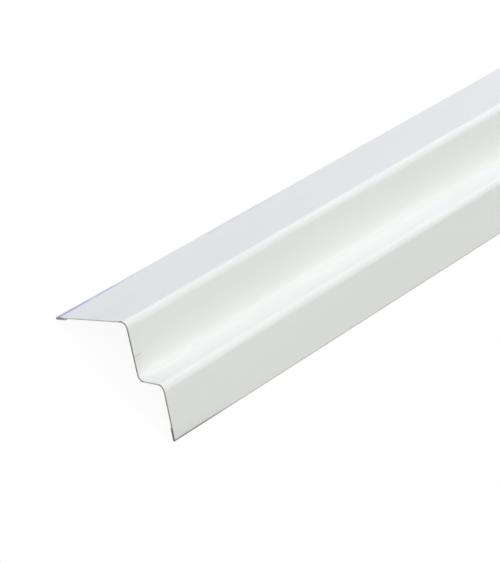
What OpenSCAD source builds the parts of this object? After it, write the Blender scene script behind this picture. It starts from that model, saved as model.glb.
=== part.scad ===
// Stepped ceiling wall angle: one roll-formed strip of coated steel sheet.
// The section runs from the hem of the wall flange over the wall bend, the inner bend
// and the outer bend of the step to the hem of the lower ledge.
// It lies as it rests on a level floor: on its two hems, with the white face up.

/* [Section] */
// Width of the wall flange, from its hem to the corner of the wall bend
flange_w = 25; // [18:0.5:40]
// Width of the upper ledge, which carries the grid, between the corners of its two bends
upper_ledge_w = 15.5; // [12:0.5:25]
// Height of the step between the two ledges
step_h = 8; // [6:0.5:15]
// Width of the lower ledge, which carries the tiles, from the corner of the step to its hem
lower_ledge_w = 15; // [10:0.5:25]
// Length of the strip as it is sold
strip_len = 3000; // [500:100:4000]

/* [Bends] */
// Turn of the sheet at the wall bend, closed past square so that the ledges spring up against the ceiling
wall_turn = 94; // [88:1:98]
// Turn of the sheet at the inner bend, into the step
inner_turn = 89; // [85:1:93]
// Turn of the sheet at the outer bend, out of the step
outer_turn = 90; // [86:1:94]
// Radius on the inside of each bend
bend_r = 1.4; // [0.6:0.1:2]

/* [Sheet] */
// Thickness of the coated sheet
sheet_t = 0.3; // [0.25:0.05:0.6]
// Width of the hem folded flat against the back along both free edges
hem_w = 3.5; // [2:0.1:4]
// Gap left inside the closed hem
hem_gap = 0.05; // [0.05:0.05:0.2]

/* [Hidden] */
$fn = 96;

// Legs along the middle of the sheet, and the turn after each of them, anticlockwise positive
leg_w = [flange_w, upper_ledge_w, step_h, lower_ledge_w];
turn = [wall_turn, -inner_turn, outer_turn];
last_leg = len(leg_w) - 1;
mid_r = bend_r + sheet_t / 2;

// A hem's fold: its outer radius, and how far its centre lies behind the middle of the sheet
fold_r = sheet_t + hem_gap / 2;
fold_depth = (sheet_t + hem_gap) / 2;

// Part of a leg that the fold or the bend at corner i takes up, and what is left straight
function taken(i) = i == 0 || i > last_leg ? fold_r : mid_r * tan(abs(turn[i - 1]) / 2);
function straight(i) = leg_w[i] - taken(i) - taken(i + 1);

// Heading and starting corner of leg i, seen from the middle of the sheet where the first fold ends
function along(a) = [cos(a), sin(a)];
function heading(i) = i == 0 ? 0 : heading(i - 1) + turn[i - 1];
function corner(i) = i == 0 ? [-fold_r, 0] : corner(i - 1) + leg_w[i - 1] * along(heading(i - 1));

// Centres of the two folds, and the turn that lays them level with the white face up
fold_a = [0, fold_depth];
fold_e = corner(last_leg) + (lower_ledge_w - fold_r) * along(heading(last_leg))
    + fold_depth * along(heading(last_leg) + 90);
fold_span = fold_e - fold_a;
rest_turn = 180 - atan2(fold_span.y, fold_span.x);

// Part of a ring about the origin, swept anticlockwise from a starting angle, up to a half ring
module ring_sector(inner_r, start, sweep) {
    outer_r = inner_r + sheet_t;
    reach = 2 * outer_r;
    intersection() {
        difference() {
            circle(r = outer_r);
            circle(r = inner_r);
        }
        polygon([for (part = [0 : 0.25 : 1]) reach * along(start + part * sweep), [0, 0]]);
    }
}

// Hem at the origin, behind a sheet that starts there and runs along +X, with its back towards +Y
module hem() {
    translate([0, fold_depth]) ring_sector(hem_gap / 2, 90, 180);
    translate([0, fold_depth + hem_gap / 2]) square([hem_w - fold_r, sheet_t]);
}

// The sheet from leg i on: its straight strip, the bend after it, and the rest of the sheet beyond
module sheet_from(i) {
    translate([0, -sheet_t / 2]) square([straight(i), sheet_t]);
    if (i < last_leg) {
        side = sign(turn[i]);
        translate([straight(i), side * mid_r]) {
            ring_sector(bend_r, side > 0 ? -90 : 90 + turn[i], abs(turn[i]));
            rotate(turn[i]) translate([0, -side * mid_r]) sheet_from(i + 1);
        }
    } else {
        translate([straight(i), 0]) mirror([1, 0]) hem();
    }
}

module section() {
    hem();
    sheet_from(0);
}

module wall_angle() {
    color("#f1f3f2") translate([-strip_len / 2, 0, 0]) rotate([90, 0, 90]) linear_extrude(height = strip_len)
        translate([0, fold_r]) rotate(rest_turn) translate(-(fold_a + fold_e) / 2) section();
}

wall_angle();
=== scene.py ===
"""Ceiling wall angle, dressed: a roll-formed strip of white coated sheet steel on a pale studio floor.

The strip is one closed surface. The middle line of its sheet runs from slit edge to slit edge through both
hems, the four legs and the three bends, the sheet's thickness is laid to both sides of that line, and the
outline so made is carried along the strip. Every pattern of its coats lies on the flat sheet, as it does on a
real strip, which is coated before it is rolled."""

import math

import bpy
import numpy as np
from mathutils import Matrix, Vector


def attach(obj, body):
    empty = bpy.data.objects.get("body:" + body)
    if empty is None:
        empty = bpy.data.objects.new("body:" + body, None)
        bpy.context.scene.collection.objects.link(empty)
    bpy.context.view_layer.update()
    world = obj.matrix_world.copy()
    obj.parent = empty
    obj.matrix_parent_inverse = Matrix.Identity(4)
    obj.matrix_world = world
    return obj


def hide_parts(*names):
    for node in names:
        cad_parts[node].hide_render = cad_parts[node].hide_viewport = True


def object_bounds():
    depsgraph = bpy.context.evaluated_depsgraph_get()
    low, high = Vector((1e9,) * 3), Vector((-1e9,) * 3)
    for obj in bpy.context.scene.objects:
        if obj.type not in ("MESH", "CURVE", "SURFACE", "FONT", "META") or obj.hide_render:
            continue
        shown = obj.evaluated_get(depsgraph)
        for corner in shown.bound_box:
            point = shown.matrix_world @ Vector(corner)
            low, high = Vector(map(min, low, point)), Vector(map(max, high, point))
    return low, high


bl_info = {
    "name": "Ceiling wall angle",
    "version": (1, 0, 0),
    "blender": (4, 5, 0),
    "location": "3D View > Sidebar > Wall angle",
    "description": "Rolls a stepped ceiling wall angle from its sheet and sets it on a studio floor",
    "category": "Add Mesh",
}

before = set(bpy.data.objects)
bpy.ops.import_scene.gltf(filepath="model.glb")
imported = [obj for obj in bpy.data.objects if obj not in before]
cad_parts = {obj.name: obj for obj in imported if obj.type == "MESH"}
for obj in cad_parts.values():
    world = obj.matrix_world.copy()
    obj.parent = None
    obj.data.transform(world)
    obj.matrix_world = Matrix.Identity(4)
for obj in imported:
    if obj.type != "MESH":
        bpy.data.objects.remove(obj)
CAD_LOW, CAD_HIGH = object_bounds()
HALF_LENGTH = (CAD_HIGH.x - CAD_LOW.x) / 2

BODY = "root"
CAD_NODE = "wall_angle"
FLAT_SHEET = "flat_sheet"
MM = 0.001

WHITE_FACE, BACK_FACE, CUT_FACE = range(3)

# The runs of the flat sheet in their order across it, from slit edge to slit edge
RUN_COUNT = 11
(FLANGE_HEM, FLANGE_FOLD, FLANGE, WALL_BEND, UPPER_LEDGE, INNER_BEND,
 STEP, OUTER_BEND, LOWER_LEDGE, LEDGE_FOLD, LEDGE_HEM) = range(RUN_COUNT)

# Strength at which the camera and reflections see the floor and the room, so that they meet without a line
BACKDROP_GLOW = 0.93


class StripSizes(bpy.types.PropertyGroup):
    """Sizes of the rolled section, along the middle of the sheet between the corners of its bends."""

    flange_width: bpy.props.FloatProperty(
        name="Wall flange", description="Width of the flange that is fixed to the wall",
        default=25 * MM, min=18 * MM, max=40 * MM, unit="LENGTH")
    upper_ledge_width: bpy.props.FloatProperty(
        name="Upper ledge", description="Width of the ledge that carries the ceiling grid",
        default=15.5 * MM, min=12 * MM, max=25 * MM, unit="LENGTH")
    step_height: bpy.props.FloatProperty(
        name="Step", description="Height of the step between the two ledges",
        default=8 * MM, min=6 * MM, max=15 * MM, unit="LENGTH")
    lower_ledge_width: bpy.props.FloatProperty(
        name="Lower ledge", description="Width of the ledge that carries the tiles",
        default=15 * MM, min=10 * MM, max=25 * MM, unit="LENGTH")
    wall_turn: bpy.props.FloatProperty(
        name="Wall bend", description="Turn of the sheet between the wall flange and the upper ledge",
        default=math.radians(94), subtype="ANGLE")
    inner_turn: bpy.props.FloatProperty(
        name="Inner bend", description="Turn of the sheet between the upper ledge and the step",
        default=math.radians(89), subtype="ANGLE")
    outer_turn: bpy.props.FloatProperty(
        name="Outer bend", description="Turn of the sheet between the step and the lower ledge",
        default=math.radians(90), subtype="ANGLE")
    bend_radius: bpy.props.FloatProperty(
        name="Bend radius", description="Radius on the inside of each bend",
        default=1.4 * MM, min=0.6 * MM, max=2 * MM, unit="LENGTH")
    bend_easing: bpy.props.FloatProperty(
        name="Bend easing", description="How slowly the two outward bends run out into the ledge after them. "
        "1 is an even bend", default=1.35, min=1, max=3)
    sheet_thickness: bpy.props.FloatProperty(
        name="Sheet", description="Thickness of the coated sheet",
        default=0.3 * MM, min=0.25 * MM, max=0.6 * MM, unit="LENGTH")
    hem_width: bpy.props.FloatProperty(
        name="Hem", description="Width of the hem folded back along both free edges",
        default=3.5 * MM, min=2 * MM, max=4 * MM, unit="LENGTH")
    hem_gap: bpy.props.FloatProperty(
        name="Hem gap", description="Gap left inside the closed hem",
        default=0.05 * MM, min=0.05 * MM, max=0.2 * MM, unit="LENGTH")
    shear_rollover: bpy.props.FloatProperty(
        name="Shear rollover", description="Radius that the shear leaves along the white edge of a cut end",
        default=0.05 * MM, min=0.01 * MM, max=0.15 * MM, unit="LENGTH")


class StripFinish(bpy.types.PropertyGroup):
    """Colours of the coated sheet."""

    coating_colour: bpy.props.FloatVectorProperty(
        name="White coating", description="Colour of the coil coating on the face of the strip",
        default=(0.90, 0.905, 0.898), min=0, max=1, subtype="COLOR")
    back_colour: bpy.props.FloatVectorProperty(
        name="Back coat", description="Colour of the thin wash coat on the back of the sheet",
        default=(0.60, 0.60, 0.57), min=0, max=1, subtype="COLOR")
    steel_colour: bpy.props.FloatVectorProperty(
        name="Cut steel", description="Colour of the bare steel where the sheet was slit and sheared",
        default=(0.28, 0.23, 0.216), min=0, max=1, subtype="COLOR")
    stained_colour: bpy.props.FloatVectorProperty(
        name="Stained cut", description="Dark colour of the cut across the upper ledge and the flange's hem",
        default=(0.11, 0.088, 0.15), min=0, max=1, subtype="COLOR")
    smeared_colour: bpy.props.FloatVectorProperty(
        name="Smeared cut", description="Pale colour of the cut where the shear smeared the coating over it",
        default=(0.80, 0.80, 0.79), min=0, max=1, subtype="COLOR")
    hem_tint: bpy.props.FloatVectorProperty(
        name="Flange hem tint", description="Bluish tint along the hem of the wall flange",
        default=(0.29, 0.27, 0.86), min=0, max=1, subtype="COLOR")
    # This grey serves the real scratches on the upper ledge and the painted shade along the fold of the
    # ledge's hem
    scratch_and_shade_colour: bpy.props.FloatVectorProperty(
        name="Rubbed coating", description="Grey of the coating where it is rubbed or scratched",
        default=(0.22, 0.22, 0.21), min=0, max=1, subtype="COLOR")


def lamp_colour(lamp, colour):
    """The colour setting of one of the studio's soft boxes."""
    return bpy.props.FloatVectorProperty(
        name=f"Colour of the {lamp}", description=f"Colour of the light from the {lamp}",
        default=colour, min=0, max=1, subtype="COLOR")


def lamp_power(lamp, watts):
    """The power setting of one of the studio's soft boxes."""
    return bpy.props.FloatProperty(
        name=f"Power of the {lamp}", description=f"Power of the {lamp}", default=watts, min=0, unit="POWER")


class StudioSettings(bpy.types.PropertyGroup):
    """Camera, lamps and floor."""

    camera_place: bpy.props.FloatVectorProperty(
        name="Camera", description="Place of the camera, from the middle of the strip on the floor",
        default=(-1.85917, -0.16679, 0.44099), subtype="TRANSLATION", unit="LENGTH")
    camera_azimuth: bpy.props.FloatProperty(
        name="Camera azimuth", description="Direction in which the camera looks, from +X towards +Y",
        default=math.radians(22.3937), subtype="ANGLE")
    camera_drop: bpy.props.FloatProperty(
        name="Camera drop", description="How far the camera looks down from the horizontal",
        default=math.radians(44.5305), subtype="ANGLE")
    camera_roll: bpy.props.FloatProperty(
        name="Camera roll", description="Turn of the camera about its own line of sight",
        default=math.radians(28.9088), subtype="ANGLE")
    lens: bpy.props.FloatProperty(
        name="Lens", description="Focal length in millimetres, for a picture 36 mm along its long side",
        default=155.1779, min=10, max=500)
    floor_colour: bpy.props.FloatVectorProperty(
        name="Floor", description="Colour of the light that the studio floor sends back to the strip",
        default=(0.35, 0.35, 0.35), min=0, max=1, subtype="COLOR")
    room_strength: bpy.props.FloatProperty(
        name="Room", description="Strength of the even light from all round the studio",
        default=0.25, min=0, max=2)
    low_colour: lamp_colour("low box", (0.30, 0.75, 1.0))
    low_power: lamp_power("low box", 3.4)
    flange_colour: lamp_colour("flange box", (0.971, 0.989, 1.0))
    flange_power: lamp_power("flange box", 33.5)
    ledge_colour: lamp_colour("ledge box", (0.985, 1.0, 0.940))
    ledge_power: lamp_power("ledge box", 33.3)
    hem_colour: lamp_colour("hem box", (0.90, 0.84, 1.0))
    hem_power: lamp_power("hem box", 3.0)
    end_colour: lamp_colour("end box", (0.953, 0.989, 1.0))
    end_power: lamp_power("end box", 5.6)


def eased(part, easing):
    """The share of a bend's turn that is done over this part of its length. The rest of the turn falls as the
    rest of the length to the power of the easing, so a bend with an easing of 1 is a round arc."""
    return 1 - (1 - part) ** easing


def bend_reach(turn, easing):
    """How far a bend of length 1 reaches from the corner of its legs, back along the first leg and on along
    the second, from the mean run and rise of its headings."""
    count = 400
    headings = abs(turn) * eased((np.arange(count) + 0.5) / count, easing)
    onward = np.sin(headings).mean() / math.sin(abs(turn))
    return np.cos(headings).mean() - onward * math.cos(turn), onward


def runs_of_sheet(sizes):
    """Lengths, turns and easings of the runs of the sheet's middle line, from slit edge to slit edge.

    A leg doesn't turn. A bend takes from the leg before it the radius at the middle of the sheet times the
    tangent of half its turn, as a round arc does, and its easing then gives its length and what it takes from
    the leg after it. A fold is a half round."""
    bend_mid = sizes.bend_radius + sizes.sheet_thickness / 2
    fold_mid = (sizes.sheet_thickness + sizes.hem_gap) / 2
    fold_outer = fold_mid + sizes.sheet_thickness / 2
    turns = np.array([sizes.wall_turn, -sizes.inner_turn, sizes.outer_turn])
    easings = np.array([sizes.bend_easing, 1, sizes.bend_easing])
    widths = np.array([sizes.flange_width, sizes.upper_ledge_width, sizes.step_height,
                       sizes.lower_ledge_width])
    back, onward = np.array([bend_reach(turn, easing) for turn, easing in zip(turns, easings)]).T
    taken_before = bend_mid * np.tan(np.abs(turns) / 2)
    legs_at, bends_at = [FLANGE, UPPER_LEDGE, STEP, LOWER_LEDGE], [WALL_BEND, INNER_BEND, OUTER_BEND]
    lengths, turned, eased_by = np.zeros(RUN_COUNT), np.zeros(RUN_COUNT), np.ones(RUN_COUNT)
    lengths[[FLANGE_HEM, LEDGE_HEM]] = sizes.hem_width - fold_outer
    lengths[[FLANGE_FOLD, LEDGE_FOLD]] = math.pi * fold_mid
    lengths[bends_at] = taken_before / back
    taken_after = lengths[bends_at] * onward
    lengths[legs_at] = widths - np.r_[fold_outer, taken_after] - np.r_[taken_before, fold_outer]
    turned[[FLANGE_FOLD, LEDGE_FOLD]] = math.pi
    turned[bends_at] = turns
    eased_by[bends_at] = easings
    return lengths, turned, eased_by


def run_starts(lengths):
    """Where each run starts across the flat sheet, and where the last one ends."""
    return np.r_[0, np.cumsum(lengths)]


def stations_across(lengths, turned):
    """Places across the flat sheet, in metres from its first slit edge: one every few degrees of a bend, and
    one every couple of millimetres of a leg."""
    bend_step = math.radians(4)
    leg_step = 2.2 * MM
    starts = run_starts(lengths)
    counts = np.ceil(np.maximum(np.abs(turned) / bend_step, lengths / leg_step)).astype(int)
    runs = [np.linspace(a, b, n, endpoint=False) for a, b, n in zip(starts[:-1], starts[1:], counts)]
    return np.r_[np.concatenate(runs), starts[-1]]


def middle_line(across, lengths, turned, easings):
    """Points and headings of the sheet's middle line at these places across the flat sheet.

    The heading is even along a leg and turns along a bend by its easing. Between two places the line is taken
    as an arc. Its chord is the arc's length times sin(a) / a, with a half of what the heading turns, in the
    mean heading."""
    starts = run_starts(lengths)
    run = np.clip(np.searchsorted(starts, across, side="right") - 1, 0, len(lengths) - 1)
    part = np.clip((across - starts[run]) / lengths[run], 0, 1)
    headings = math.pi + run_starts(turned)[run] + turned[run] * eased(part, easings[run])
    half_turn = np.diff(headings) / 2
    mean = headings[:-1] + half_turn
    chord = np.diff(across) * np.sinc(half_turn / math.pi)
    steps = np.c_[chord * np.cos(mean), chord * np.sin(mean)]
    return np.r_[np.zeros((1, 2)), np.cumsum(steps, axis=0)], headings


def laid_on_floor(points, headings, across, lengths, sizes):
    """The middle line as the strip rests on its two hems: turned until the centres of both folds are level,
    with half way between them over the frame's origin and the folds touching the floor."""
    fold_ends_at = run_starts(lengths)[[FLANGE_FOLD, FLANGE_FOLD + 1, LEDGE_FOLD, LEDGE_FOLD + 1]]
    fold_ends = np.array([[np.interp(place, across, points[:, k]) for k in (0, 1)] for place in fold_ends_at])
    flange_fold, ledge_fold = fold_ends[:2].mean(axis=0), fold_ends[2:].mean(axis=0)
    span = ledge_fold - flange_fold
    turn = math.pi - math.atan2(span[1], span[0])
    spin = np.array([[math.cos(turn), -math.sin(turn)], [math.sin(turn), math.cos(turn)]])
    fold_outer = sizes.sheet_thickness + sizes.hem_gap / 2
    middle = (flange_fold + ledge_fold) / 2
    return (points - middle) @ spin.T + [0, fold_outer], headings + turn


def stations_along(rollover):
    """Places along the strip: close rings in the shear's rollover at both cut ends, one more just inside it
    that keeps the shading of the flat sheet true, and even steps between."""
    even_step = 50 * MM
    rings = 5
    just_inside = 3
    steps = int(round(2 * HALF_LENGTH / even_step))
    round_places = 1 - np.sin(np.linspace(0, math.pi / 2, rings))
    near_end = HALF_LENGTH - rollover * np.r_[just_inside, round_places]
    inner = np.linspace(-1, 1, steps + 1)[1:-1] * (HALF_LENGTH - rollover)
    return np.r_[-near_end[::-1], inner, near_end]


def drawn_in(along, rollover):
    """How far the white side is drawn in at each place along the strip: a quarter round of the rollover's
    radius at the cut ends, and nothing elsewhere."""
    into_round = np.clip(np.abs(along) - (HALF_LENGTH - rollover), 0, rollover)
    return rollover - np.sqrt(rollover ** 2 - into_round ** 2)


def sheet_outlines(points, headings, along, sizes):
    """The sheet's outline at each place along the strip, first down its white side and then back along its
    back. A point of it is the middle line's, moved along its normal by half the sheet's thickness, less what
    the rollover draws in on the white side."""
    half_sheet = sizes.sheet_thickness / 2
    normals = np.c_[np.sin(headings), -np.cos(headings)]
    white_depth = half_sheet - drawn_in(along, sizes.shear_rollover)
    back_depth = np.full_like(along, half_sheet)
    white = points[None] + white_depth[:, None, None] * normals[None]
    back = points[None] - back_depth[:, None, None] * normals[None]
    return np.concatenate([white, back[:, ::-1]], axis=1)


def strip_faces(rings, count):
    """Four-sided faces of the closed strip, and the kind of each. A ring has this count of vertices on its
    white side and as many on its back.

    A side face joins a vertex and the next one round to the same two of the next ring. The faces of the two
    cut ends join each pair of neighbours on the white side to their partners on the back."""
    around = 2 * count
    index = np.arange(rings * around).reshape(rings, around)
    onward = np.roll(index, -1, axis=1)
    partner = index[:, ::-1]
    sides = np.stack([index[:-1], index[1:], onward[1:], onward[:-1]], axis=-1).reshape(-1, 4)
    this, after = slice(0, count - 1), slice(1, count)
    first_end = np.stack([index[0, this], index[0, after], partner[0, after], partner[0, this]], axis=-1)
    last_end = np.stack([partner[-1, this], partner[-1, after], index[-1, after], index[-1, this]], axis=-1)
    kinds_round = np.full(around, WHITE_FACE)
    kinds_round[count:] = BACK_FACE
    kinds_round[[count - 1, around - 1]] = CUT_FACE
    kinds = np.r_[np.tile(kinds_round, rings - 1), np.full(2 * (count - 1), CUT_FACE)]
    return np.concatenate([sides, first_end, last_end]), kinds


def rolled_strip(sizes):
    """Vertices, faces, flat-sheet places and face kinds of the whole strip: the sheet's outlines, set along
    the strip and joined into a surface that its two cut ends close."""
    lengths, turned, easings = runs_of_sheet(sizes)
    across = stations_across(lengths, turned)
    points, headings = middle_line(across, lengths, turned, easings)
    points, headings = laid_on_floor(points, headings, across, lengths, sizes)
    along = stations_along(sizes.shear_rollover)
    outlines = sheet_outlines(points, headings, along, sizes)
    rings, around = outlines.shape[:2]
    grid = np.concatenate([np.broadcast_to(along[:, None, None], (rings, around, 1)), outlines], axis=2)
    flat = np.stack([np.repeat(along, around), np.tile(np.r_[across, across[::-1]], rings)], axis=-1)
    faces, kinds = strip_faces(rings, len(across))
    return grid.reshape(-1, 3), faces, flat[faces.ravel()], kinds


def new_mesh_object(name, vertices, faces):
    """A mesh object at the origin with these vertices and four-sided faces."""
    mesh = bpy.data.meshes.new(name)
    mesh.vertices.add(len(vertices))
    mesh.vertices.foreach_set("co", np.asarray(vertices, np.float32).ravel())
    mesh.loops.add(faces.size)
    mesh.loops.foreach_set("vertex_index", faces.astype(np.int32).ravel())
    mesh.polygons.add(len(faces))
    mesh.polygons.foreach_set("loop_start", np.arange(0, faces.size, 4, dtype=np.int32))
    mesh.update(calc_edges=True)
    piece = bpy.data.objects.new(name, mesh)
    bpy.context.scene.collection.objects.link(piece)
    return piece


def add_node(tree, kind, inputs=None, **settings):
    """A node of this kind with its settings, and its inputs set to values or linked to the sockets given."""
    node = tree.nodes.new(kind)
    for name, value in settings.items():
        setattr(node, name, value)
    for name, value in (inputs or {}).items():
        if isinstance(value, bpy.types.NodeSocket):
            tree.links.new(value, node.inputs[name])
        else:
            node.inputs[name].default_value = value
    return node


def calculate(tree, operation, *values, clamp=False):
    """The output of a Math node with this operation on values or sockets."""
    node = add_node(tree, "ShaderNodeMath", dict(enumerate(values)), operation=operation, use_clamp=clamp)
    return node.outputs["Value"]


def between(tree, value, low, high, smooth=True):
    """A value or socket carried from 0 at low to 1 at high, level beyond both."""
    inputs = {"Value": value, "From Min": low, "From Max": high}
    shape = "SMOOTHSTEP" if smooth else "LINEAR"
    return add_node(tree, "ShaderNodeMapRange", inputs, interpolation_type=shape).outputs["Result"]


def band(tree, value, low, high, soft):
    """1 where a socket lies between low and high, falling to 0 over the soft width beyond both."""
    rise = between(tree, value, low - soft, low)
    return calculate(tree, "MULTIPLY", rise, between(tree, value, high + soft, high))


def mixed(tree, factor, first, second):
    """The output of a colour mix from the first to the second. The Mix node has its colours at its inputs 6
    and 7 and at its output 2."""
    inputs = {0: factor}
    for place, colour in ((6, first), (7, second)):
        inputs[place] = colour if isinstance(colour, bpy.types.NodeSocket) else (*colour, 1)
    return add_node(tree, "ShaderNodeMix", inputs, data_type="RGBA").outputs[2]


def stretched_noise(tree, place, along, across, detail=2.0, seed=0.0):
    """Noise over the flat sheet whose spots are this long along the strip and this wide across it."""
    scale = add_node(tree, "ShaderNodeCombineXYZ", {"X": 1 / along, "Y": 1 / across, "Z": 0.0})
    scaled = add_node(tree, "ShaderNodeVectorMath", {0: place, 1: scale.outputs["Vector"]},
                      operation="MULTIPLY")
    inputs = {"Vector": scaled.outputs["Vector"], "W": seed, "Scale": 1.0, "Detail": detail, "Roughness": 0.5}
    return add_node(tree, "ShaderNodeTexNoise", inputs, noise_dimensions="4D").outputs["Fac"]


def new_group(name, inputs, outputs):
    """An empty node group with these named sockets, and its input and output nodes. Inputs give their type
    and default, outputs their type."""
    tree = bpy.data.node_groups.new(name, "ShaderNodeTree")
    for socket, (kind, default) in inputs.items():
        made = tree.interface.new_socket(socket, in_out="INPUT", socket_type=kind)
        if default is not None:
            made.default_value = default
    for socket, kind in outputs.items():
        tree.interface.new_socket(socket, in_out="OUTPUT", socket_type=kind)
    return tree, tree.nodes.new("NodeGroupInput").outputs, tree.nodes.new("NodeGroupOutput").inputs


def group_node(tree, group, **inputs):
    """This group placed in a material, its inputs named with underscores for spaces. Gives its outputs."""
    named = {name.replace("_", " "): value for name, value in inputs.items()}
    return add_node(tree, "ShaderNodeGroup", named, node_tree=group).outputs


def about_zero(tree, noise, strength):
    """A noise moved down to lie about 0, times a strength."""
    return calculate(tree, "MULTIPLY", calculate(tree, "SUBTRACT", noise, 0.5), strength)


def with_share(tree, whole, other, share):
    """The whole of one socket with a share of another added."""
    return calculate(tree, "ADD", whole, calculate(tree, "MULTIPLY", other, share))


def satin_skin_group():
    """The skin of a rolled coating: a fine orange peel, drawn lines of the forming rolls along the strip, and
    cloudy patches. It puts out a height for bump, in units of the deepest peel, and a shade and a gloss
    change, both about 0."""
    tree, given, out = new_group(
        "satin_skin",
        {"Place": ("NodeSocketVector", None), "Peel": ("NodeSocketFloat", 1.0),
         "Lines": ("NodeSocketFloat", 1.0), "Clouds": ("NodeSocketFloat", 1.0)},
        {"Height": "NodeSocketFloat", "Shade": "NodeSocketFloat", "Gloss": "NodeSocketFloat"})
    place = given["Place"]
    peel = stretched_noise(tree, place, 1.1 * MM, 0.9 * MM, seed=1.0)
    lines = stretched_noise(tree, place, 180 * MM, 0.35 * MM, detail=3.0, seed=2.0)
    clouds = stretched_noise(tree, place, 60 * MM, 14 * MM, detail=3.0, seed=3.0)
    peel = about_zero(tree, peel, given["Peel"])
    lines = about_zero(tree, lines, given["Lines"])
    clouds = about_zero(tree, clouds, given["Clouds"])
    tree.links.new(with_share(tree, peel, lines, 0.4), out["Height"])
    tree.links.new(with_share(tree, clouds, lines, 0.3), out["Shade"])
    tree.links.new(with_share(tree, lines, clouds, 0.5), out["Gloss"])
    return tree


def tooth_marks(tree, across):
    """Marks of the shear's teeth along its cut: even waves across the flat sheet, from 0 to 1."""
    tooth_pitch = 1 * MM
    wave = calculate(tree, "SINE", calculate(tree, "MULTIPLY", across, 2 * math.pi / tooth_pitch))
    return calculate(tree, "MULTIPLY_ADD", wave, 0.5, 0.5)


def smeared_cut(tree, across, starts, clean, on_hem):
    """The white coating drawn over the cut where it is clean. The tooth marks take more of it away towards
    the wall bend, and on the flange's hem it lies in those marks alone."""
    shallow, deep = 0.2, 0.6
    marks = tooth_marks(tree, across)
    over_flange = between(tree, across, starts[FLANGE], starts[WALL_BEND], smooth=False)
    depth = calculate(tree, "MULTIPLY_ADD", over_flange, deep - shallow, shallow)
    cut_out = calculate(tree, "MULTIPLY", marks, depth)
    smear = calculate(tree, "MULTIPLY", clean, calculate(tree, "SUBTRACT", 1.0, cut_out))
    return calculate(tree, "MAXIMUM", smear, calculate(tree, "MULTIPLY", on_hem, marks), clamp=True)


def stained_cut(tree, across, starts, on_hem, soft):
    """The stain of the cut: full on the flange's hem, and strongest at the wall bend across the upper
    ledge."""
    weakest = 0.35
    over_ledge = between(tree, across, starts[INNER_BEND], starts[UPPER_LEDGE], smooth=False)
    strength = calculate(tree, "MULTIPLY_ADD", over_ledge, 1 - weakest, weakest)
    on_ledge = band(tree, across, starts[UPPER_LEDGE] + soft, starts[INNER_BEND] - soft, 2 * soft)
    return calculate(tree, "MAXIMUM", calculate(tree, "MULTIPLY", on_ledge, strength), on_hem)


def worn_edge(tree, given, along, clean):
    """The wear of the coat beside the cut: 1 at the cut, and falling to 0 over a reach that small chips break
    up, and that is next to nothing where the cut is clean."""
    open_reach, clean_reach = 2.4, 0.05
    inside = calculate(tree, "SUBTRACT", given["Half length"], calculate(tree, "ABSOLUTE", along))
    chips = stretched_noise(tree, given["Place"], 0.4 * MM, 0.5 * MM, detail=4.0, seed=4.0)
    breadth = calculate(tree, "MULTIPLY_ADD", clean, clean_reach - open_reach, open_reach)
    reach = calculate(tree, "MULTIPLY", given["Reach"], calculate(tree, "MULTIPLY", chips, breadth))
    return calculate(tree, "SUBTRACT", 1.0, calculate(tree, "DIVIDE", inside, reach, clamp=True))


def sheared_end_group(sizes):
    """What the shear left at a cut end, by the place on the flat sheet: the wear of the coat beside the cut,
    the smear of white coating over the cut, across the flange and the step, and the stain of the cut."""
    tree, given, out = new_group(
        "sheared_end",
        {"Place": ("NodeSocketVector", None), "Half length": ("NodeSocketFloat", 1.5),
         "Reach": ("NodeSocketFloat", 1 * MM)},
        {"Wear": "NodeSocketFloat", "Smear": "NodeSocketFloat", "Stain": "NodeSocketFloat"})
    starts = run_starts(runs_of_sheet(sizes)[0])
    at = add_node(tree, "ShaderNodeSeparateXYZ", {"Vector": given["Place"]}).outputs
    soft = 0.8 * MM
    step_share = 0.85
    hem_end = starts[FLANGE] + 3 * soft
    on_flange = band(tree, at["Y"], hem_end, starts[WALL_BEND] - 1.5 * soft, soft)
    on_step = band(tree, at["Y"], starts[STEP] + 0.5 * soft, starts[OUTER_BEND] - 0.5 * soft, soft)
    on_hem = between(tree, at["Y"], hem_end, hem_end - soft)
    clean = calculate(tree, "MULTIPLY_ADD", on_step, step_share, on_flange)
    tree.links.new(worn_edge(tree, given, at["X"], clean), out["Wear"])
    tree.links.new(smeared_cut(tree, at["Y"], starts, clean, on_hem), out["Smear"])
    tree.links.new(stained_cut(tree, at["Y"], starts, on_hem, soft), out["Stain"])
    return tree


def new_material(name):
    """A material with an empty Principled surface: its tree, its shader and the flat sheet's coordinates."""
    material = bpy.data.materials.new(name)
    material.use_nodes = True
    tree = material.node_tree
    shader = tree.nodes["Principled BSDF"]
    shader.inputs["Specular IOR Level"].default_value = 0.3
    place = add_node(tree, "ShaderNodeUVMap", uv_map=FLAT_SHEET).outputs["UV"]
    return material, tree, shader, place


def clouded(tree, made, colour, darkest, brightest):
    """This colour as the skin's shade changes it, from its darkest to its brightest share."""
    dark = tuple(c * darkest for c in colour)
    bright = tuple(min(c * brightest, 1.0) for c in colour)
    return mixed(tree, calculate(tree, "ADD", made["Shade"], 0.5, clamp=True), dark, bright)


def set_relief(tree, shader, height, depth):
    """Gives the shader a bump of this depth from a height socket."""
    bump = add_node(tree, "ShaderNodeBump", {"Height": height, "Distance": depth, "Strength": 1.0})
    tree.links.new(bump.outputs["Normal"], shader.inputs["Normal"])


def set_coat(tree, shader, made, colour, roughness, gloss_change, peel_depth):
    """Gives the shader a coat's colour, its roughness with this much of the skin's gloss change, and the
    skin's relief with its deepest peel at this depth."""
    tree.links.new(colour, shader.inputs["Base Color"])
    change = calculate(tree, "MULTIPLY", made["Gloss"], gloss_change)
    tree.links.new(calculate(tree, "ADD", change, roughness, clamp=True), shader.inputs["Roughness"])
    set_relief(tree, shader, made["Height"], peel_depth)


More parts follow.
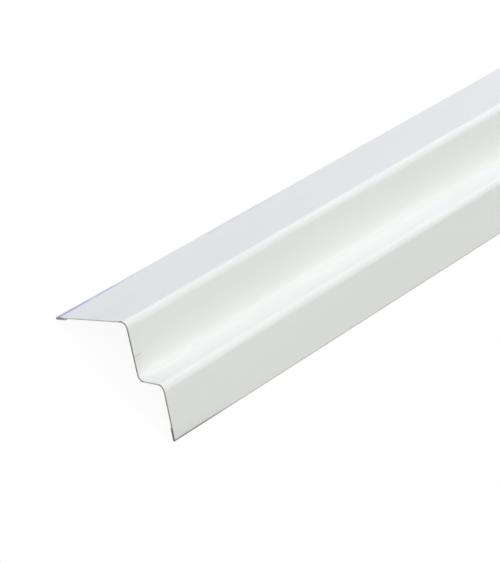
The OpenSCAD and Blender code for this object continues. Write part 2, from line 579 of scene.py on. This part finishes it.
def tinted_hem(tree, colour, place, from_end, across, hem_start, tint):
    """A colour tinted in a narrow band along the flange's hem. The tint is blotchy, fades over the first
    centimetres from the near end, and comes back once, much fainter."""
    band_width, full_width = 1.6 * MM, 0.64 * MM
    near_strength, faint_strength = 0.85, 0.16
    on_hem = between(tree, across, hem_start + band_width, hem_start + full_width)
    blotches = between(tree, stretched_noise(tree, place, 5 * MM, 2 * MM, seed=5.0), 0.2, 0.55)
    near = between(tree, from_end, 34 * MM, 5 * MM, smooth=False)
    near = calculate(tree, "MULTIPLY", near, near_strength)
    faint = calculate(tree, "MULTIPLY", band(tree, from_end, 58 * MM, 78 * MM, 7 * MM), faint_strength)
    strength = calculate(tree, "MULTIPLY", calculate(tree, "ADD", near, faint), blotches)
    return mixed(tree, calculate(tree, "MULTIPLY", on_hem, strength), colour, tint)


def fold_shade_and_rub(tree, colour, from_end, across, fold_start, darkened):
    """A colour darkened to grey from the start of the ledge's fold on: painted shade where the hem's fold
    turns under towards the floor. The painted shade is a little stronger over the first 400 mm. Over the
    first centimetres, where the strip was handled, a real rub makes it strongest, starts it sooner and adds a
    faint greyness beside it."""
    # Strengths of the painted shade along the fold, and of the real rub near the handled end
    even_shade, longer_shade, handled_rub, beside_grey = 0.3, 0.3, 0.32, 0.08
    soft = 0.05 * MM
    sooner = 0.18 * MM
    beside_width = 2.6 * MM
    handled = between(tree, from_end, 26 * MM, 8 * MM)
    longer = between(tree, from_end, 400 * MM, 0.0)
    strength = calculate(tree, "MULTIPLY_ADD", longer, longer_shade, even_shade)
    strength = calculate(tree, "MULTIPLY_ADD", handled, handled_rub, strength)
    start = calculate(tree, "MULTIPLY_ADD", handled, -sooner, fold_start - soft)
    into_fold_shade = calculate(tree, "SUBTRACT", across, start)
    beside = calculate(tree, "MULTIPLY", between(tree, into_fold_shade, -beside_width, 0.0), handled)
    shade_and_rub = calculate(tree, "MULTIPLY", between(tree, into_fold_shade, -2 * soft, 3 * soft), strength)
    colour = mixed(tree, calculate(tree, "MULTIPLY", beside, beside_grey), colour, darkened)
    return mixed(tree, shade_and_rub, colour, darkened)


def scratch(tree, from_end, across, start, finish, level, half_width):
    """A straight scratch along the strip: 1 on its line, at this level across the flat sheet, between its
    start and finish, and 0 from its half width on."""
    aside = calculate(tree, "ABSOLUTE", calculate(tree, "SUBTRACT", across, level))
    within = band(tree, from_end, start, finish, 4 * half_width)
    return calculate(tree, "MULTIPLY", within, between(tree, aside, half_width, 0.0))


def scratched_ledge(tree, colour, from_end, across, ledge_start, darkened):
    """A colour with two short scratches on the upper ledge beside the near end, the second finer and
    fainter."""
    strength, second_share = 0.25, 0.4
    first = scratch(tree, from_end, across, 0.7 * MM, 1.5 * MM, ledge_start + 7.1 * MM, 0.42 * MM)
    second = scratch(tree, from_end, across, 1.7 * MM, 2.6 * MM, ledge_start + 8.2 * MM, 0.22 * MM)
    both = calculate(tree, "MAXIMUM", first, calculate(tree, "MULTIPLY", second, second_share))
    return mixed(tree, calculate(tree, "MULTIPLY", both, strength), colour, darkened)


def white_coating(sizes, finish, skin, sheared_end):
    """White coil coating, satin, with its peel and roll lines. It is tinted along the hem of the wall flange,
    darkened with painted shade along the fold of the ledge's hem and rubbed there near the end, scratched
    beside the near end, and worn at the cuts."""
    material, tree, shader, place = new_material("white_coating")
    starts = run_starts(runs_of_sheet(sizes)[0])
    at = add_node(tree, "ShaderNodeSeparateXYZ", {"Vector": place}).outputs
    across = at["Y"]
    from_end = calculate(tree, "ADD", at["X"], HALF_LENGTH)
    made = group_node(tree, skin, Place=place, Peel=1.0, Lines=0.5, Clouds=1.0)
    colour = clouded(tree, made, finish.coating_colour, 0.94, 1.03)
    colour = tinted_hem(tree, colour, place, from_end, across, starts[FLANGE], finish.hem_tint)
    # Painted shade along the fold of the ledge's hem, where it turns under towards the floor, with a real rub
    # near the end
    colour = fold_shade_and_rub(tree, colour, from_end, across, starts[LEDGE_FOLD], finish.scratch_and_shade_colour)
    colour = scratched_ledge(tree, colour, from_end, across, starts[UPPER_LEDGE], finish.scratch_and_shade_colour)
    left = group_node(tree, sheared_end, Place=place, Half_length=HALF_LENGTH, Reach=0.2 * MM)
    bare = mixed(tree, left["Stain"], finish.steel_colour, finish.stained_colour)
    colour = mixed(tree, left["Wear"], colour, bare)
    set_coat(tree, shader, made, colour, roughness=0.42, gloss_change=0.12, peel_depth=0.012 * MM)
    return material


def back_coat(finish, skin, sheared_end):
    """Thin wash coat on the back of the sheet: flatter than the face, more streaked, and worn at the cuts."""
    material, tree, shader, place = new_material("back_coat")
    made = group_node(tree, skin, Place=place, Peel=0.5, Lines=1.6, Clouds=1.8)
    colour = clouded(tree, made, finish.back_colour, 0.82, 1.06)
    left = group_node(tree, sheared_end, Place=place, Half_length=HALF_LENGTH, Reach=0.4 * MM)
    colour = mixed(tree, left["Wear"], colour, finish.steel_colour)
    set_coat(tree, shader, made, colour, roughness=0.55, gloss_change=0.2, peel_depth=0.01 * MM)
    return material


def cut_steel(finish, sheared_end):
    """Bare steel where the sheet was slit and sheared: dull, with a fine dark grain, stained and smeared with
    the coating as the shear left it."""
    grains_per_metre = 6000.0
    darkening = 0.4
    material, tree, shader, place = new_material("cut_steel")
    spot = add_node(tree, "ShaderNodeTexCoord").outputs["Object"]
    grain = add_node(tree, "ShaderNodeTexNoise", {"Vector": spot, "Scale": grains_per_metre, "Detail": 3.0})
    grain = grain.outputs["Fac"]
    left = group_node(tree, sheared_end, Place=place)
    colour = mixed(tree, left["Stain"], finish.steel_colour, finish.stained_colour)
    colour = mixed(tree, left["Smear"], colour, finish.smeared_colour)
    dark = mixed(tree, darkening, colour, (0, 0, 0))
    colour = mixed(tree, between(tree, grain, 0.3, 0.7), dark, colour)
    tree.links.new(colour, shader.inputs["Base Color"])
    tree.links.new(between(tree, grain, -0.6, 1.6, smooth=False), shader.inputs["Roughness"])
    shader.inputs["Metallic"].default_value = 0.4
    set_relief(tree, shader, grain, 0.02 * MM)
    return material


def mark_cut_edges_sharp(mesh, kinds):
    """Smooth shading everywhere but at the edges between a cut face and the coated sheet."""
    mesh.polygons.foreach_set("use_smooth", np.ones(len(kinds), bool))
    edges = np.empty(len(mesh.loops), np.int32)
    mesh.loops.foreach_get("edge_index", edges)
    is_cut = np.repeat(kinds == CUT_FACE, 4)
    cut_sides = np.bincount(edges, weights=is_cut, minlength=len(mesh.edges))
    sharp = mesh.attributes.new("sharp_edge", "BOOLEAN", "EDGE")
    sharp.data.foreach_set("value", cut_sides == 1)


class WALLANGLE_OT_roll_strip(bpy.types.Operator):
    """Rolls the strip from its coated sheet, with both hems, and lays it on the floor"""

    bl_idname = "wallangle.roll_strip"
    bl_label = "Roll the strip"

    def execute(self, context):
        sizes = context.scene.wall_angle_sizes
        finish = context.scene.wall_angle_finish
        vertices, faces, flat, kinds = rolled_strip(sizes)
        strip = new_mesh_object("coated_strip", vertices, faces)
        mesh = strip.data
        mesh.uv_layers.new(name=FLAT_SHEET).uv.foreach_set("vector", flat.astype(np.float32).ravel())
        mesh.polygons.foreach_set("material_index", kinds.astype(np.int32))
        mark_cut_edges_sharp(mesh, kinds)
        skin = satin_skin_group()
        sheared_end = sheared_end_group(sizes)
        mesh.materials.append(white_coating(sizes, finish, skin, sheared_end))
        mesh.materials.append(back_coat(finish, skin, sheared_end))
        mesh.materials.append(cut_steel(finish, sheared_end))
        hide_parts(CAD_NODE)
        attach(strip, BODY)
        return {"FINISHED"}


def seen_plainly(tree):
    """1 for the camera's rays and those of reflections and of clear materials, which all see the backdrop
    plain, and 0 for the light that falls on the strip."""
    path = tree.nodes.new("ShaderNodeLightPath").outputs
    seen = calculate(tree, "ADD", path["Is Camera Ray"], path["Is Glossy Ray"], clamp=True)
    return calculate(tree, "ADD", seen, path["Is Transmission Ray"], clamp=True)


def floor_material(studio):
    """The floor: diffuse to the light that it sends back to the strip. To the camera and in reflections it is
    near white with a share of its own lit colour, so that it keeps the strip's shadow."""
    shown_lit = 0.09
    material = bpy.data.materials.new("studio_floor")
    material.use_nodes = True
    tree = material.node_tree
    tree.nodes.clear()
    seen = seen_plainly(tree)
    lit = add_node(tree, "ShaderNodeBsdfDiffuse", {"Color": (*studio.floor_colour, 1)}).outputs["BSDF"]
    faint = add_node(tree, "ShaderNodeBsdfDiffuse", {"Color": (shown_lit,) * 3 + (1,)}).outputs["BSDF"]
    glow = add_node(tree, "ShaderNodeEmission", {"Color": (1, 1, 1, 1), "Strength": BACKDROP_GLOW})
    shown = add_node(tree, "ShaderNodeAddShader", {0: faint, 1: glow.outputs["Emission"]}).outputs["Shader"]
    surface = add_node(tree, "ShaderNodeMixShader", {"Fac": seen, 1: lit, 2: shown}).outputs["Shader"]
    add_node(tree, "ShaderNodeOutputMaterial", {"Surface": surface})
    return material


def plain_background(tree, strength):
    """White light of this strength from all round."""
    inputs = {"Color": (1, 1, 1, 1), "Strength": strength}
    return add_node(tree, "ShaderNodeBackground", inputs).outputs["Background"]


def studio_world(studio):
    """Even light from all round, which the camera and reflections see as plain as the far floor."""
    world = bpy.data.worlds.new("studio_room")
    world.use_nodes = True
    tree = world.node_tree
    tree.nodes.clear()
    room = plain_background(tree, studio.room_strength)
    white = plain_background(tree, BACKDROP_GLOW)
    inputs = {"Fac": seen_plainly(tree), 1: room, 2: white}
    surface = add_node(tree, "ShaderNodeMixShader", inputs).outputs["Shader"]
    add_node(tree, "ShaderNodeOutputWorld", {"Surface": surface})
    return world


def beside_strip(distance, height_angle, along=0.0):
    """A place at this distance from the strip, in metres. Its height angle, in degrees, goes from the level
    on the flange's side over the top to the level on the ledges' side."""
    angle = math.radians(height_angle)
    return Vector((along, distance * math.cos(angle), distance * math.sin(angle)))


def soft_box(name, place, aim, size, colour, power):
    """A rectangular lamp at this place, square to the line from its aim, with its first side level."""
    lamp = bpy.data.lights.new(name, "AREA")
    lamp.shape = "RECTANGLE"
    lamp.size, lamp.size_y = size
    lamp.color = colour
    lamp.energy = power
    box = bpy.data.objects.new(name, lamp)
    bpy.context.scene.collection.objects.link(box)
    box.rotation_mode = "QUATERNION"
    box.location = place
    box.rotation_quaternion = (place - aim).to_track_quat("Z", "Y")
    box.visible_camera = False


def light_strip(studio):
    """Three long boxes that light the strip evenly along its length, a close one beside the flange that
    leaves the near end a little darker, and one that faces the near cut end."""
    far, close = 1.5, 0.45
    long_box, close_box, end_box = (9.0, 0.5), (2.8, 0.15), (1.2, 0.8)
    middle = Vector()
    soft_box("low_box", beside_strip(far, 15), middle, long_box, studio.low_colour, studio.low_power)
    soft_box("flange_box", beside_strip(far, 60), middle, long_box, studio.flange_colour, studio.flange_power)
    soft_box("ledge_box", beside_strip(far, 140), middle, long_box, studio.ledge_colour, studio.ledge_power)
    hem_aim = Vector((0.1, 0, 0))
    hem_place = beside_strip(close, 45, hem_aim.x)
    soft_box("hem_box", hem_place, hem_aim, close_box, studio.hem_colour, studio.hem_power)
    near_end = Vector((CAD_LOW.x, 0, 0))
    end_place = near_end + Vector((-1.5, 0, 1.0))
    soft_box("end_box", end_place, near_end, end_box, studio.end_colour, studio.end_power)


def studio_camera(studio):
    """The camera, aimed by its azimuth and its drop and then rolled about its line of sight."""
    camera = bpy.data.objects.new("camera", bpy.data.cameras.new("camera"))
    bpy.context.scene.collection.objects.link(camera)
    camera.data.lens = studio.lens
    camera.data.sensor_width = 36
    camera.data.clip_start = 10 * MM
    camera.data.clip_end = 200
    level = Matrix.Rotation(studio.camera_azimuth - math.pi / 2, 4, "Z")
    tilted = Matrix.Rotation(math.pi / 2 - studio.camera_drop, 4, "X")
    rolled = Matrix.Rotation(studio.camera_roll, 4, "Z")
    camera.matrix_world = Matrix.Translation(studio.camera_place) @ level @ tilted @ rolled
    bpy.context.scene.camera = camera


class WALLANGLE_OT_set_studio(bpy.types.Operator):
    """Sets the floor, the lamps, the room's light and the camera"""

    bl_idname = "wallangle.set_studio"
    bl_label = "Set the studio"

    def execute(self, context):
        studio = context.scene.wall_angle_studio
        half_floor = 60.0
        under_hems = -0.02 * MM
        corners = np.array([[-1, -1], [1, -1], [1, 1], [-1, 1]]) * half_floor
        vertices = np.c_[corners, np.full(4, under_hems)]
        floor = new_mesh_object("studio_floor", vertices, np.arange(4).reshape(1, 4))
        floor.data.materials.append(floor_material(studio))
        light_strip(studio)
        context.scene.world = studio_world(studio)
        context.scene.view_settings.view_transform = "Standard"
        studio_camera(studio)
        return {"FINISHED"}


class WALLANGLE_PT_sidebar(bpy.types.Panel):
    """Buttons and sizes of the wall angle in the sidebar"""

    bl_idname = "WALLANGLE_PT_sidebar"
    bl_label = "Ceiling wall angle"
    bl_space_type = "VIEW_3D"
    bl_region_type = "UI"
    bl_category = "Wall angle"

    def draw(self, context):
        for title, owner, operator in (
                ("Section", context.scene.wall_angle_sizes, None),
                ("Finish", context.scene.wall_angle_finish, WALLANGLE_OT_roll_strip),
                ("Studio", context.scene.wall_angle_studio, WALLANGLE_OT_set_studio)):
            box = self.layout.box()
            box.label(text=title)
            for name in owner.__annotations__:
                box.prop(owner, name)
            if operator:
                box.operator(operator.bl_idname)


CLASSES = (StripSizes, StripFinish, StudioSettings, WALLANGLE_OT_roll_strip, WALLANGLE_OT_set_studio,
           WALLANGLE_PT_sidebar)


def register():
    for made in CLASSES:
        bpy.utils.register_class(made)
    bpy.types.Scene.wall_angle_sizes = bpy.props.PointerProperty(type=StripSizes)
    bpy.types.Scene.wall_angle_finish = bpy.props.PointerProperty(type=StripFinish)
    bpy.types.Scene.wall_angle_studio = bpy.props.PointerProperty(type=StudioSettings)


def unregister():
    del bpy.types.Scene.wall_angle_studio
    del bpy.types.Scene.wall_angle_finish
    del bpy.types.Scene.wall_angle_sizes
    for made in reversed(CLASSES):
        bpy.utils.unregister_class(made)


def main():
    register()
    bpy.ops.wallangle.roll_strip()
    bpy.ops.wallangle.set_studio()


if __name__ == "__main__":
    main()
